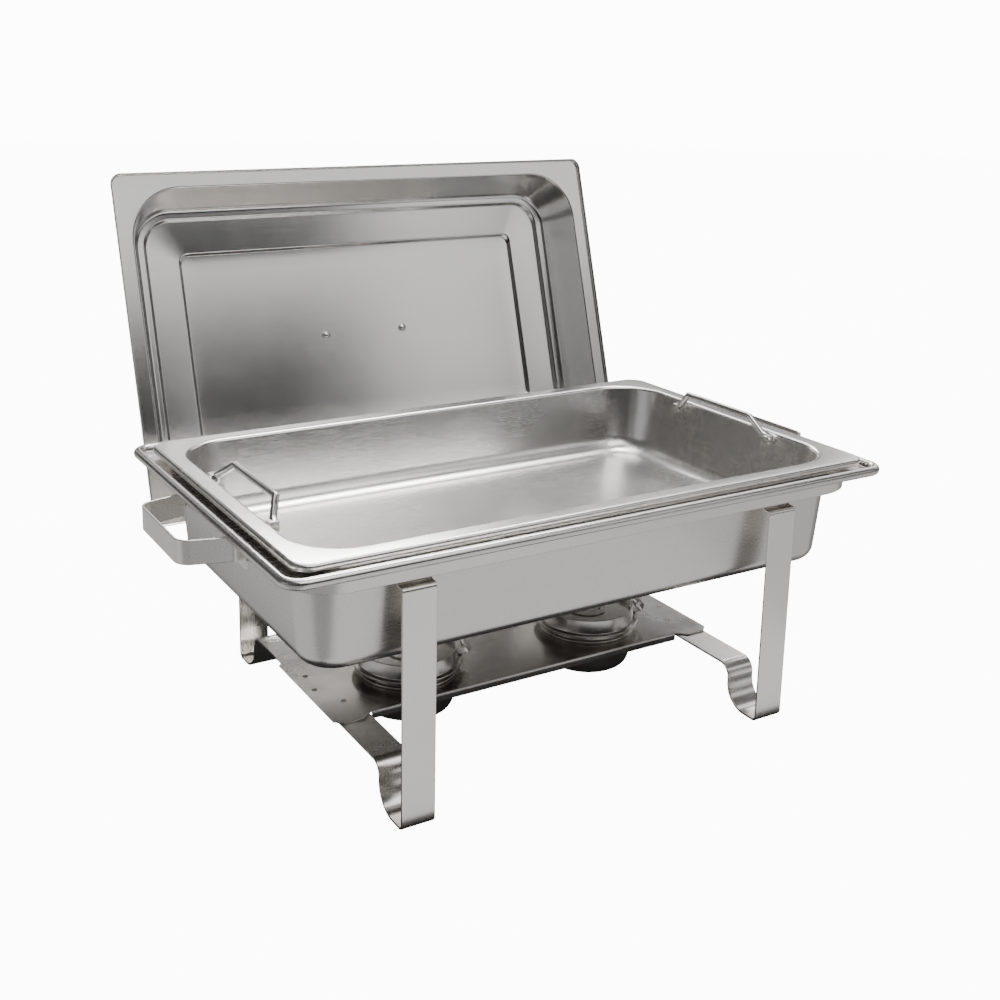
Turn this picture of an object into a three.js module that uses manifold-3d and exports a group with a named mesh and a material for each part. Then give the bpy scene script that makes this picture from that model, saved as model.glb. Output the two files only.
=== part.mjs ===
// Chafing dish food warmer: a strap-steel stand, a water pan, a full-size food pan and a drawn lid
// parked upright behind the stand. Millimetres, +Z up, the long side along X, the guest's side at -Y.
import * as THREE from 'three';
import { LoftGeometry } from 'three/addons/geometries/LoftGeometry.js';
import { mergeVertices } from 'three/addons/utils/BufferGeometryUtils.js';
import Module from 'manifold-3d';

// ---- driving dimensions ----------------------------------------------------------------------
const DEPTH_SHIFT = -91.894;      // brings the middle of the whole object's depth over the origin
const RIM = { x: 278, y: 178 };        // half sizes of the water pan over its rolled edge
const RIM_RADIUS = 18;
const BEAD = { inset: 4.3, z: 213, r: 4.2 };
const FOOD_RIM = { x: 265, y: 162.5 };        // a 1/1 gastronorm pan is 530 x 325 over its rim
const FOOD_SHIFT_Y = -3;
const LID = { x: 268, y: 168 };        // half sizes of the lid over its turned edge
const LID_PARK = { x: 23, y: 272.3, z: 279.8, lean: 0.294 };
const STRAP = 2;        // thickness of every strap
const LEG_WIDTH = 28;
const LEG_X = 171;        // middle of a leg, left and right
const LEG_FACE = 165;        // outer faces of the legs and of the band, front and back
const BAND = { x: 265, y: 165, r: 45, low: 196, high: 209.9 };
const SHELF_TOP = 39;
const SHELF_SHEET = 1.2;
const BURNER_X = 94;
const HOLE_R = 41.5;
const CORNER_STEPS = 6;
const GAP = 0.3;        // between pieces that touch

// ---- colours of the stainless steel pieces ---------------------------------------------------
const steel = (color, roughness) => ({ color, roughness, metalness: 1 });
const SATIN = steel(0xc4c1bc, 0.32);
const POLISHED = steel(0xcfccc8, 0.22);
const STRAP_STEEL = steel(0xbdb7b1, 0.38);
const WIRE_STEEL = steel(0xc8c4bf, 0.25);
const PAINTED_CAN = { color: 0xb9bcc0, roughness: 0.45, metalness: 0.6 };

// ---- solids ------------------------------------------------------------------------------------
const wasm = await Module();
wasm.setup();

function toManifold(geometry) {
  const bare = new THREE.BufferGeometry();
  bare.setAttribute('position', geometry.attributes.position);
  bare.setIndex(geometry.index);
  const merged = mergeVertices(bare, 1e-4);
  const mesh = new wasm.Mesh({
    numProp: 3,
    vertProperties: new Float32Array(merged.attributes.position.array),
    triVerts: new Uint32Array(merged.index.array),
  });
  return new wasm.Manifold(mesh);
}

function toGeometry(manifold) {
  const mesh = manifold.getMesh();
  const geometry = new THREE.BufferGeometry();
  geometry.setAttribute('position', new THREE.BufferAttribute(new Float32Array(mesh.vertProperties), 3));
  geometry.setIndex(new THREE.BufferAttribute(new Uint32Array(mesh.triVerts), 1));
  geometry.computeVertexNormals();
  return geometry;
}

const join = (...parts) => toGeometry(parts.map(toManifold).reduce((a, b) => a.add(b)));
const cut = (body, ...tools) => toGeometry(tools.map(toManifold).reduce((a, b) => a.subtract(b), toManifold(body)));

// A rounded rectangle at height z, counter-clockwise from above, always with the same point count.
function ring(halfX, halfY, radius, z) {
  const points = [];
  for (let corner = 0; corner < 4; corner++) {
    const signX = corner === 0 || corner === 3 ? 1 : -1;
    const signY = corner < 2 ? 1 : -1;
    for (let step = 0; step <= CORNER_STEPS; step++) {
      const angle = (corner + step / CORNER_STEPS) * Math.PI / 2;
      points.push(new THREE.Vector3(
        signX * (halfX - radius) + radius * Math.cos(angle),
        signY * (halfY - radius) + radius * Math.sin(angle),
        z,
      ));
    }
  }
  return points;
}

// Sheet metal drawn to a section: each station is [inset from the outer edge, height, corner radius].
function drawnSheet(half, stations) {
  const rings = stations.map(([inset, z, radius]) => ring(half.x - inset, half.y - inset, radius, z));
  return new LoftGeometry(rings, { capStart: true, capEnd: true });
}

// Stations along a bend about [inset, z], turning from one angle to another (0 = outward, 90 = up).
function bend(inset, z, r, fromDeg, toDeg, steps, cornerRadius) {
  const stations = [];
  for (let i = 0; i <= steps; i++) {
    const angle = THREE.MathUtils.degToRad(fromDeg + (toDeg - fromDeg) * i / steps);
    const at = inset - r * Math.cos(angle);
    stations.push([at, z + r * Math.sin(angle), cornerRadius(at)]);
  }
  return stations;
}

// A line through the given points with each inner corner rounded to its radius.
function roundedLine(points) {
  const line = [new THREE.Vector2(...points[0])];
  for (let i = 1; i < points.length - 1; i++) {
    const [x, y, radius = 0] = points[i];
    const corner = new THREE.Vector2(x, y);
    const before = new THREE.Vector2(...points[i - 1].slice(0, 2)).sub(corner).normalize();
    const after = new THREE.Vector2(...points[i + 1].slice(0, 2)).sub(corner).normalize();
    if (radius === 0) {
      line.push(corner);
      continue;
    }
    const half = Math.acos(THREE.MathUtils.clamp(before.dot(after), -1, 1)) / 2;
    const start = corner.clone().addScaledVector(before, radius / Math.tan(half));
    const end = corner.clone().addScaledVector(after, radius / Math.tan(half));
    const middle = before.clone().add(after).normalize();
    const centre = corner.clone().addScaledVector(middle, radius / Math.sin(half));
    const a0 = Math.atan2(start.y - centre.y, start.x - centre.x);
    let turn = Math.atan2(end.y - centre.y, end.x - centre.x) - a0;
    if (turn > Math.PI) turn -= 2 * Math.PI;
    if (turn < -Math.PI) turn += 2 * Math.PI;
    const steps = Math.max(3, Math.ceil(Math.abs(turn) / 0.22));
    for (let k = 0; k <= steps; k++) {
      const a = a0 + turn * k / steps;
      line.push(new THREE.Vector2(centre.x + radius * Math.cos(a), centre.y + radius * Math.sin(a)));
    }
  }
  line.push(new THREE.Vector2(...points[points.length - 1].slice(0, 2)));
  return line;
}

// A strap on edge: a line thickened to both sides and extruded by its width.
function strap(points, width, thickness = STRAP) {
  const line = roundedLine(points);
  const left = [];
  const right = [];
  line.forEach((point, i) => {
    const a = line[Math.max(i - 1, 0)];
    const b = line[Math.min(i + 1, line.length - 1)];
    const along = b.clone().sub(a).normalize();
    const side = new THREE.Vector2(-along.y, along.x).multiplyScalar(thickness / 2);
    left.push(point.clone().add(side));
    right.push(point.clone().sub(side));
  });
  const shape = new THREE.Shape([...left, ...right.reverse()]);
  return new THREE.ExtrudeGeometry(shape, { depth: width, bevelEnabled: false });
}

// Turns a profile drawn in (Y, Z) and extruded by a width into a strip centred on x.
function alongX(geometry, width, x) {
  const basis = new THREE.Matrix4().makeBasis(
    new THREE.Vector3(0, 1, 0),
    new THREE.Vector3(0, 0, 1),
    new THREE.Vector3(1, 0, 0),
  );
  return geometry.applyMatrix4(basis).translate(x - width / 2, 0, 0);
}

function round(radius, segments = 12) {
  const shape = new THREE.Shape();
  shape.absarc(0, 0, radius, 0, Math.PI * 2, false);
  return new THREE.Shape(shape.getPoints(segments).slice(0, -1));
}

// Round wire bent along a line in space.
function wire(points, radius, bendRadius, steps, segments = 6) {
  const path = new THREE.CurvePath();
  let last = points[0];
  for (let i = 1; i < points.length - 1; i++) {
    const toBefore = points[i - 1].clone().sub(points[i]).normalize().multiplyScalar(bendRadius);
    const toAfter = points[i + 1].clone().sub(points[i]).normalize().multiplyScalar(bendRadius);
    const start = points[i].clone().add(toBefore);
    const end = points[i].clone().add(toAfter);
    path.add(new THREE.LineCurve3(last, start));
    path.add(new THREE.QuadraticBezierCurve3(start, points[i], end));
    last = end;
  }
  path.add(new THREE.LineCurve3(last, points[points.length - 1]));
  const outline = round(radius, segments);
  return new THREE.ExtrudeGeometry(outline, { steps, extrudePath: path, curveSegments: segments });
}

function turned(profile, segments = 32) {
  const lathe = new THREE.LatheGeometry(profile.map(([r, z]) => new THREE.Vector2(r, z)), segments);
  return lathe.rotateX(Math.PI / 2);
}

const v3 = (x, y, z) => new THREE.Vector3(x, y, z);
const box = (sx, sy, sz, x, y, z) => new THREE.BoxGeometry(sx, sy, sz).translate(x, y, z);
const disc = (r, low, high, x = 0, y = 0, segments = 32) => turned(
  [[0, low], [r, low], [r, high], [0, high]], segments).translate(x, y, 0);

const dish = new THREE.Group();
dish.position.y = DEPTH_SHIFT;

function add(name, geometry, look, parent = dish) {
  const mesh = new THREE.Mesh(geometry, new THREE.MeshStandardMaterial(look));
  mesh.name = name;
  parent.add(mesh);
  return mesh;
}

// ---- water pan: deep body, a ridge that carries the food pan, a drip channel, a rolled edge ----
function waterPan() {
  const corner = (inset) => Math.max(RIM_RADIUS - inset, 1);
  const body = (inset) => 62 - inset;
  return drawnSheet(RIM, [
    ...bend(46, 140, 14, -90, 0, 4, body),
    [25.5, 205, body(25.5)],
    [25.3, 217.5, body(25.3)],
    [24.2, 219.4, body(24.2)],
    [22.9, 219.4, body(22.9)],
    [20.3, 211, 36],
    [19.3, 210.3, 34],
    [9.8, 210.3, 12],
    ...bend(BEAD.inset, BEAD.z, BEAD.r, -150, 150, 9, corner),
    [9.4, 211.6, 12],
    [18.6, 211.5, 34],
    [21.4, 219.6, 38],
    [22.6, 220.7, 39],
    [24.6, 220.7, 37],
    [26.4, 219, body(26.4)],
    [26.7, 205, body(26.7)],
    [33.2, 140, body(33.2)],
    ...bend(46, 140, 12.8, 0, -90, 4, body).slice(1),
    [52, 127.4, body(52)],
  ]);
}
add('water_pan', waterPan(), SATIN);

// ---- food pan: full-size, 65 deep, its rim folded down over the drip channel -------------------
function foodPan() {
  const mouth = (inset) => 45 - (inset - 17);
  return drawnSheet(FOOD_RIM, [
    ...bend(45, 176.1, 20, -90, 0, 5, mouth),
    [16.6, 216, mouth(16.6)],
    [15.6, 220, mouth(15.6)],
    [14.4, 221.1, mouth(14.4)],
    [4, 221.1, 13],
    [1.7, 220.2, 13.5],
    [0.9, 218.6, 14],
    [0.9, 217, 14],
    [0, 217, 15],
    [0, 219.2, 15],
    [0.9, 221.3, 14.5],
    [3, 222.1, 13.5],
    [14.2, 222.1, mouth(14.2)],
    [16.3, 221.1, mouth(16.3)],
    [17.4, 218.4, mouth(17.4)],
    [17.6, 215, mouth(17.6)],
    [25.9, 176.1, mouth(25.9)],
    ...bend(45, 176.1, 19.1, 0, -90, 5, mouth).slice(1),
    [52, 157.2, mouth(52)],
  ]);
}

const foodGroup = new THREE.Group();
foodGroup.position.y = FOOD_SHIFT_Y;
dish.add(foodGroup);
add('food_pan', foodPan(), POLISHED, foodGroup);

// ---- drop handles of the food pan: wire bails whose turned ends pivot in welded clips -----------
const BAIL = { wire: 3, pivotX: 241.8, pivotZ: 215.5, halfSpan: 55, pin: 12, reach: 23.5 };
const BAIL_LEAN = { left: 0.62, right: 0.26 };
const CLIP = { half: 4.4, bore: 3.3, width: 6.5 };

function bail(side, lean) {
  const { pivotX, pivotZ, halfSpan, pin, reach } = BAIL;
  const gripX = side * (pivotX - reach * Math.sin(lean));
  const gripZ = pivotZ + reach * Math.cos(lean);
  const x = side * pivotX;
  return wire([
    v3(x, -halfSpan - pin, pivotZ),
    v3(x, -halfSpan, pivotZ),
    v3(gripX, -halfSpan + 8, gripZ),
    v3(gripX, halfSpan - 8, gripZ),
    v3(x, halfSpan, pivotZ),
    v3(x, halfSpan + pin, pivotZ),
  ], BAIL.wire, 5, 44, 6);
}

function clip(side, end) {
  const { half, bore, width } = CLIP;
  const y = end * (BAIL.halfSpan + BAIL.pin - width / 2);
  const block = box(2 * half, width, 2 * half, side * BAIL.pivotX, y, BAIL.pivotZ);
  const hole = new THREE.CylinderGeometry(bore, bore, width + 4, 20)
    .translate(side * BAIL.pivotX, y, BAIL.pivotZ);
  return cut(block, hole);
}

for (const [name, side] of [['left', -1], ['right', 1]]) {
  add(`bail_${name}`, bail(side, BAIL_LEAN[name]), WIRE_STEEL, foodGroup);
  add(`bail_clip_${name}_front`, clip(side, -1), POLISHED, foodGroup);
  add(`bail_clip_${name}_rear`, clip(side, 1), POLISHED, foodGroup);
}

// ---- stand: a band under the rim, two end frames bent from one strap each -----------------------
function topBand() {
  const { x, y, r, low, high } = BAND;
  const outer = new THREE.Shape(ring(x, y, r, 0).map((p) => new THREE.Vector2(p.x, p.y)));
  const hole = ring(x - STRAP, y - STRAP, r - STRAP, 0).map((p) => new THREE.Vector2(p.x, p.y));
  outer.holes.push(new THREE.Path(hole));
  return new THREE.ExtrudeGeometry(outer, { depth: high - low, bevelEnabled: false }).translate(0, 0, low);
}
add('top_band', topBand(), STRAP_STEEL);

// From the band down the front leg, round the foot, along the crossbar and up the rear leg.
function endFrame(x) {
  const leg = LEG_FACE - STRAP / 2;
  const front = [
    [-(BAND.y - STRAP - GAP), 206.5],
    [-156, 206.5, 3],
    [-156, 190, 3],
    [-leg, 190, 3],
    [-leg, 1, 4],
    [-127.5, 1, 21],
    [-127.5, 36.5, 11],
  ];
  const back = front.map(([y, z, r]) => [-y, z, r]).reverse();
  return alongX(strap([...front, ...back], LEG_WIDTH), LEG_WIDTH, x);
}
add('end_frame_left', endFrame(-LEG_X), STRAP_STEEL);
add('end_frame_right', endFrame(LEG_X), STRAP_STEEL);

// Carrying handle: a strap loop on edge whose ends lie along the band.
function carryHandle(side) {
  const seat = BAND.x + GAP + STRAP / 2;
  const half = [
    [side * seat, 78],
    [side * seat, 57, 5],
    [side * 307, 46.5, 12],
  ];
  const mirrored = half.map(([x, y, r]) => [x, -y, r]).reverse();
  const height = 19.4;
  return strap([...half, ...mirrored], height).translate(0, 0, 208.4 - height);
}
add('carry_handle_left', carryHandle(-1), STRAP_STEEL);
add('carry_handle_right', carryHandle(1), STRAP_STEEL);

// Burner shelf: its ends lie on the crossbars, its long edges are folded down between them.
function burnerShelf() {
  const outline = [
    [156, 56], [165, 63], [183, 63], [190, 56], [190, -56], [183, -63], [165, -63], [156, -56],
    [-156, -56], [-165, -63], [-183, -63], [-190, -56], [-190, 56], [-183, 63], [-165, 63], [-156, 56],
  ];
  const shape = new THREE.Shape(outline.map(([x, y]) => new THREE.Vector2(x, y)));
  for (const side of [-1, 1]) {
    const hole = round(HOLE_R, 24).getPoints().map((p) => p.add(new THREE.Vector2(side * BURNER_X, 0)));
    shape.holes.push(new THREE.Path(hole));
  }
  const plate = new THREE.ExtrudeGeometry(shape, { depth: SHELF_SHEET, bevelEnabled: false })
    .translate(0, 0, SHELF_TOP - SHELF_SHEET);
  const folds = [-1, 1].map((side) => box(311, SHELF_SHEET, 7, 0, side * (56 - SHELF_SHEET / 2), SHELF_TOP - 3.5));
  return join(plate, ...folds);
}
add('burner_shelf', burnerShelf(), POLISHED);

// Lid rest: a strap hook behind each rear leg; the lid's long flange stands in its notch.
function lidRest(x) {
  const seat = LEG_FACE + GAP + STRAP / 2;
  const profile = [
    [seat, 150],
    [seat, 117.2, 4],
    [231.8, 117.2, 4],
    [231.8, 131.6, 4],
    [285.6, 131.6, 6],
    [305.1, 196],
  ];
  return alongX(strap(profile, 20), 20, x);
}
add('lid_rest_left', lidRest(-LEG_X), STRAP_STEEL);
add('lid_rest_right', lidRest(LEG_X), STRAP_STEEL);

// ---- fuel holders: cup in the shelf's hole, flared collar, gel can, swinging damper -------------
function fuelCup() {
  const bottom = [];
  const inside = [];
  for (let i = 0; i <= 4; i++) {
    const a = i * Math.PI / 8;
    bottom.push([30.5 + 10 * Math.sin(a), 16 - 10 * Math.cos(a)]);
    inside.unshift([30.5 + 9 * Math.sin(a), 16 - 9 * Math.cos(a)]);
  }
  return turned([
    [0, 6], ...bottom,
    [40.5, 39.3], [44.2, 39.3], [44.8, 40.2], [44.2, 41.1], [41.6, 41.6], [40.9, 46],
    [39.9, 46], [39.5, 40], ...inside, [0, 7],
  ]);
}

function fuelCollar() {
  return turned([
    [38.4, 42], [39.3, 42], [39.5, 46.3], [47.2, 46.3], [48.2, 47.4], [47.6, 48.6], [46, 48],
    [43.4, 48.4], [43.2, 60.6], [42.6, 61.3], [41.9, 60.6], [41.9, 55.2], [16.5, 55.2], [16.5, 54.2],
    [41.2, 54.2], [41.6, 49], [38.4, 47.2], [38.4, 42],
  ]);
}

// Finger tab of the collar: a strip lying on its flange, its end curled up and back like a scroll.
function fingerTab() {
  const line = [[44.3, 49.4], [46.5, 49.4]];
  for (let i = 0; i <= 18; i++) {
    const turn = i / 18;
    const angle = -Math.PI / 2 + turn * 1.6 * Math.PI;
    const r = 5.6 - 2.6 * turn;
    line.push([50.4 + r * Math.cos(angle), 55 + r * Math.sin(angle)]);
  }
  return strap(line, 9, 0.8).rotateX(Math.PI / 2).translate(0, 4.5, 0).rotateZ(-0.3);
}

function fuelCan() {
  return turned([
    [0, 10], [36.5, 10], [37.5, 11], [37.5, 42.5], [36.9, 43.6], [36, 42.5], [35.5, 40.5],
    [23, 40.5], [22.6, 39.5], [0, 39.5],
  ]);
}

const DAMPER = { r: 18.8, pivot: 33, angle: 2.4, low: 55.5, high: 56.4 };

function damper() {
  const { r, pivot, angle, low, high } = DAMPER;
  const flap = disc(r, low, high);
  const eye = disc(4.6, low, high, pivot, 0, 20);
  const neck = box(22, 8, high - low, 20, 0, (low + high) / 2);
  const finger = box(1, 8, 5, -14, 0, low + 2.5);
  const bore = disc(1.8, low - 2, high + 2, pivot, 0, 16);
  return cut(join(flap, eye, neck, finger), bore).rotateZ(angle);
}

function damperPin() {
  const px = DAMPER.pivot * Math.cos(DAMPER.angle);
  const py = DAMPER.pivot * Math.sin(DAMPER.angle);
  return turned([[0, 55.5], [1.5, 55.5], [1.5, 56.7], [3.2, 56.7], [2.4, 57.9], [0, 58.2]], 16)
    .translate(px, py, 0);
}

for (const [name, side] of [['left', -1], ['right', 1]]) {
  const holder = new THREE.Group();
  holder.position.x = side * BURNER_X;
  dish.add(holder);
  add(`fuel_cup_${name}`, fuelCup(), POLISHED, holder);
  add(`fuel_collar_${name}`, fuelCollar(), POLISHED, holder);
  add(`collar_tab_${name}`, fingerTab(), POLISHED, holder);
  add(`fuel_can_${name}`, fuelCan(), PAINTED_CAN, holder);
  add(`damper_${name}`, damper(), POLISHED, holder);
  add(`damper_pin_${name}`, damperPin(), POLISHED, holder);
}

// ---- lid: drawn cover with a stepped shoulder and a raised field, parked on its long edge -------
const SCREW_X = 45;

function lidCover() {
  const wall = (inset) => 52 - (inset - 15);
  const under = [
    [82, 52.7, 5], [79, 52.8, 6], [75.5, 52.2, 8], [72.5, 49.9, 10], [42, 48.2, 26], [39.4, 46.8, 28], [37.6, 45, 30],
    [33.5, 44.6, 33], [29.6, 42.3, 37], [27.4, 38, 39], [16.6, 3.2, 50], [15.6, 0.9, 51], [14, 0, 50],
    [2.4, 0, 8], [1.3, -0.6, 8.5], [1, -1.8, 9], [1, -3.4, 9],
  ];
  const over = [
    [0, -3.4, 10], [0, -0.8, 10], [0.9, 0.6, 9.5], [2.4, 1, 9], [13.4, 1, 50], [14.6, 1.6, 51], [15.6, 3.6, wall(15.6)],
    [26.4, 38.4, 40], [28.8, 43, 37], [33, 45.6, 33], [37, 46, 30], [38.6, 47.6, 28.5], [41.4, 49.2, 26],
    [72, 50.9, 10], [75, 53.2, 8], [78.6, 53.8, 6],
  ];
  const holes = [-1, 1].map((side) => disc(2.6, 40, 60, side * SCREW_X, 0, 16));
  return cut(drawnSheet(LID, [...under, ...over]), ...holes);
}

function lidHandle() {
  const arch = wire([
    v3(-SCREW_X, 0, 56.4), v3(-SCREW_X, 0, 88), v3(SCREW_X, 0, 88), v3(SCREW_X, 0, 56.4),
  ], 5, 14, 30, 9);
  const bores = [-1, 1].map((side) => disc(2.4, 50, 66, side * SCREW_X, 0, 16));
  return cut(arch, ...bores);
}

function lidWasher(side) {
  const plate = disc(9, 54.1, 56.1, side * SCREW_X, 0, 24);
  return cut(plate, disc(2.6, 50, 60, side * SCREW_X, 0, 16));
}

function lidScrew(side) {
  return turned([[0, 49.4], [2.6, 49.9], [4.2, 51.4], [4.4, 52.5], [2, 52.5], [2, 65], [0, 65]], 16)
    .translate(side * SCREW_X, 0, 0);
}

const lid = new THREE.Group();
lid.position.set(LID_PARK.x, LID_PARK.y, LID_PARK.z);
lid.rotation.x = -(Math.PI / 2 + LID_PARK.lean);
dish.add(lid);
add('lid_cover', lidCover(), SATIN, lid);
add('lid_handle', lidHandle(), WIRE_STEEL, lid);
for (const [name, side] of [['left', -1], ['right', 1]]) {
  add(`lid_washer_${name}`, lidWasher(side), WIRE_STEEL, lid);
  add(`lid_screw_${name}`, lidScrew(side), WIRE_STEEL, lid);
}

export default dish;
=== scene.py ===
# %% [markdown]
# Chafing dish food warmer in stainless steel: a stand bent from strap, a deep water pan, a full-size
# food pan, two fuel holders and a drawn lid that is parked upright behind the stand.
# The frame holds the working model: each body moves on its joint, and each piece made here rides on one.

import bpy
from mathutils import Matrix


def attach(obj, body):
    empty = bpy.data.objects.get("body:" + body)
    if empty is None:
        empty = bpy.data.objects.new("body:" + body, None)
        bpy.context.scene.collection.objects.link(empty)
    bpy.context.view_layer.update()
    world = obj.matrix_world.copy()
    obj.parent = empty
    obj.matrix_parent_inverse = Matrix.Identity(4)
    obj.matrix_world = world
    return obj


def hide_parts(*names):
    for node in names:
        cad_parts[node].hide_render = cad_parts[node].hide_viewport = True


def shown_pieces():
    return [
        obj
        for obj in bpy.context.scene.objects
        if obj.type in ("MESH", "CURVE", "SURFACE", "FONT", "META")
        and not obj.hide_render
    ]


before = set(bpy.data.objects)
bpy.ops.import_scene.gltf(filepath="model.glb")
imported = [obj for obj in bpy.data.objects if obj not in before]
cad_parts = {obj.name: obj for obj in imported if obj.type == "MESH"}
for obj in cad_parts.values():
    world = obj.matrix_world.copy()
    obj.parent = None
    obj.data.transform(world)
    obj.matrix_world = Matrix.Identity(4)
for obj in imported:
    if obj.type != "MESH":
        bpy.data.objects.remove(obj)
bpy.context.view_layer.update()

# %% [markdown]
# Everything is drawn in millimetres, because that is how a sheet-metal shop thinks, and is brought to
# metres once, where a mesh is made. The stand's middle lies in front of the whole object's middle,
# because the parked lid takes room behind it: that is the one shift in depth.

# %% Units and small mesh helpers
import math
from math import cos, pi, sin

import bmesh
import bpy
import numpy as np
from mathutils import Matrix, Vector

MM = 0.001
SHIFT_Y = -91.894
SHARP_DEG = 38


def make_object(name, points, faces, sharp_deg=SHARP_DEG):
    """A mesh from points in millimetres, closed, facing out, smooth except over sharp edges."""
    mesh = bpy.data.meshes.new(name)
    mesh.from_pydata([tuple(p[i] * MM for i in range(3)) for p in points], [], faces)
    bm = bmesh.new()
    bm.from_mesh(mesh)
    bmesh.ops.remove_doubles(bm, verts=bm.verts, dist=2e-6)
    bmesh.ops.recalc_face_normals(bm, faces=bm.faces)
    for face in bm.faces:
        face.smooth = True
    for edge in bm.edges:
        if len(edge.link_faces) == 2:
            edge.smooth = edge.calc_face_angle(0) < math.radians(sharp_deg)
    bm.to_mesh(mesh)
    bm.free()
    made = bpy.data.objects.new(name, mesh)
    bpy.context.scene.collection.objects.link(made)
    return made


def bridge(rings, wrap=False, caps=True):
    """Quads between rings of the same count; wrap joins the last ring to the first."""
    count = len(rings[0])
    points = [p for ring in rings for p in ring]
    faces = []
    last = len(rings) if wrap else len(rings) - 1
    for i in range(last):
        a, b = i * count, (i + 1) % len(rings) * count
        for j in range(count):
            k = (j + 1) % count
            faces.append((a + j, a + k, b + k, b + j))
    if caps and not wrap:
        faces.append(tuple(reversed(range(count))))
        faces.append(tuple(range(len(points) - count, len(points))))
    return points, faces


# %% [markdown]
# Sheet and strap are both described by the line down the middle of the metal, with a radius at each
# bend, exactly as a bending drawing gives it. Two helpers round that line and give the metal its
# thickness with a rounded cut edge, so no edge is ever a bare knife edge.

# %% A bent line and its thickness
BEND_STEP = math.radians(7)


def rounded(points, step=BEND_STEP):
    """The line through (a, b, radius) corners with each corner turned into an arc."""
    line = [np.array(points[0][:2], float)]
    for i in range(1, len(points) - 1):
        corner = np.array(points[i][:2], float)
        radius = points[i][2] if len(points[i]) > 2 else 0
        if not radius:
            line.append(corner)
            continue
        before = np.array(points[i - 1][:2], float) - corner
        after = np.array(points[i + 1][:2], float) - corner
        before /= np.linalg.norm(before)
        after /= np.linalg.norm(after)
        half = math.acos(max(-1, min(1, before @ after))) / 2
        middle = (before + after) / np.linalg.norm(before + after)
        centre = corner + middle * radius / sin(half)
        start = corner + before * radius / math.tan(half) - centre
        turn = pi - 2 * half
        side = np.sign(before[1] * after[0] - before[0] * after[1])
        steps = max(2, math.ceil(turn / step))
        for k in range(steps + 1):
            a = side * turn * k / steps
            line.append(centre + np.array([start[0] * cos(a) - start[1] * sin(a),
                                           start[0] * sin(a) + start[1] * cos(a)]))
    line.append(np.array(points[-1][:2], float))
    return line


def sides(line):
    """The unit normal to the left of a line at each of its points."""
    normals = []
    for i, point in enumerate(line):
        along = line[min(i + 1, len(line) - 1)] - line[max(i - 1, 0)]
        along /= np.linalg.norm(along)
        normals.append(np.array([-along[1], along[0]]))
    return normals


def sheet_section(line, thickness, lip_steps=5):
    """One side of the sheet out to its edge, round the edge, and back along the other side."""
    normals = sides(line)
    half = thickness / 2
    out = [p + n * half for p, n in zip(line, normals)]
    back = [p - n * half for p, n in zip(line, normals)]
    edge, n = line[-1], normals[-1]
    along = np.array([n[1], -n[0]])
    lip = []
    for k in range(1, lip_steps):
        a = pi * k / lip_steps
        lip.append(edge + n * half * cos(a) + along * half * sin(a))
    return out + lip + back[::-1]


# %% [markdown]
# The pans and the lid are deep drawn: one flat blank is pressed into a rectangular die. Every level of
# such a form is a rounded rectangle, small-cornered at the trimmed outer edge and large-cornered
# where the metal had to flow. So each form is lofted through rounded rectangles, and one short table
# says how the corner radius changes from the edge inwards.

# %% Drawn forms
CORNER_POINTS = 14


def rounded_rectangle(half_x, half_y, radius, z):
    ring = []
    for corner, (sx, sy) in enumerate(((1, 1), (-1, 1), (-1, -1), (1, -1))):
        for step in range(CORNER_POINTS + 1):
            a = (corner + step / CORNER_POINTS) * pi / 2
            ring.append((sx * (half_x - radius) + radius * cos(a),
                         sy * (half_y - radius) + radius * sin(a), z))
    return ring


def drawn_form(name, half, line, thickness, corner_table):
    """line is (inset from the outer edge, height) from the middle of the floor out to the edge."""
    section = sheet_section(line, thickness)
    insets, radii = zip(*corner_table)
    rings = []
    for inset, z in section:
        radius = float(np.interp(inset, insets, radii))
        rings.append(rounded_rectangle(half[0] - inset, half[1] - inset, radius, z))
    points, faces = bridge(rings)
    return make_object(name, points, faces)


def place(obj, x=0.0, y=0.0, z=0.0):
    """Sets a finished mesh in the row frame, in millimetres, with the stand's shift in depth."""
    obj.data.transform(Matrix.Translation(Vector((x, y + SHIFT_Y, z)) * MM))
    return obj


# %% [markdown]
# The water pan is the deepest draw. Its rim does three jobs. A raised ridge carries the food pan's
# rim, a channel outside the ridge catches the drips from the lid, and the edge is rolled round on
# itself so that it is stiff and safe to hold. The roll is an open curl here too, not a solid rod.

# %% Water pan
RIM = (278, 178)
ROLL = {"inset": 4.3, "z": 213.0, "r": 3.6}
PAN_SHEET = 1.1


def roll_points(inset, z, r, start_deg, end_deg, steps):
    """Points round the curl of the rim, 180 being its inner side and 90 its top."""
    made = []
    for k in range(steps + 1):
        a = math.radians(start_deg + (end_deg - start_deg) * k / steps)
        made.append(np.array([inset - r * cos(a), z + r * sin(a)]))
    return made


water_line = rounded([
    (64, 126.7), (52, 126.65), (33.9, 126.6, 14), (25.9, 220.0, 1.6), (22.6, 220.0, 1.6),
    (20.4, 210.9, 1.6), (8.0, 210.9, 1.2), (7.9, 212.6),
])
water_line += roll_points(ROLL["inset"], ROLL["z"], ROLL["r"], 172, -128, 30)
WATER_CORNERS = [(0, 18), (8.5, 9.5), (9.8, 12), (18.6, 34), (20.3, 36), (26, 36), (46, 16), (64, 9)]
water_pan = place(drawn_form("water_pan_drawn", RIM, water_line, PAN_SHEET, WATER_CORNERS))
print("water pan:", len(water_pan.data.polygons), "faces")

# %% [markdown]
# The food pan is the standard full-size catering pan, 530 by 325 mm over its rim. Its rim is flat and
# is folded down at the edge, which leaves a dark gap above the water pan's channel all the way round.
# It was set down by hand, so it sits a few millimetres towards the front.

# %% Food pan
FOOD_RIM = (265, 162.5)
FOOD_Y = -3.0
FOOD_SHEET = 0.95

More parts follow.
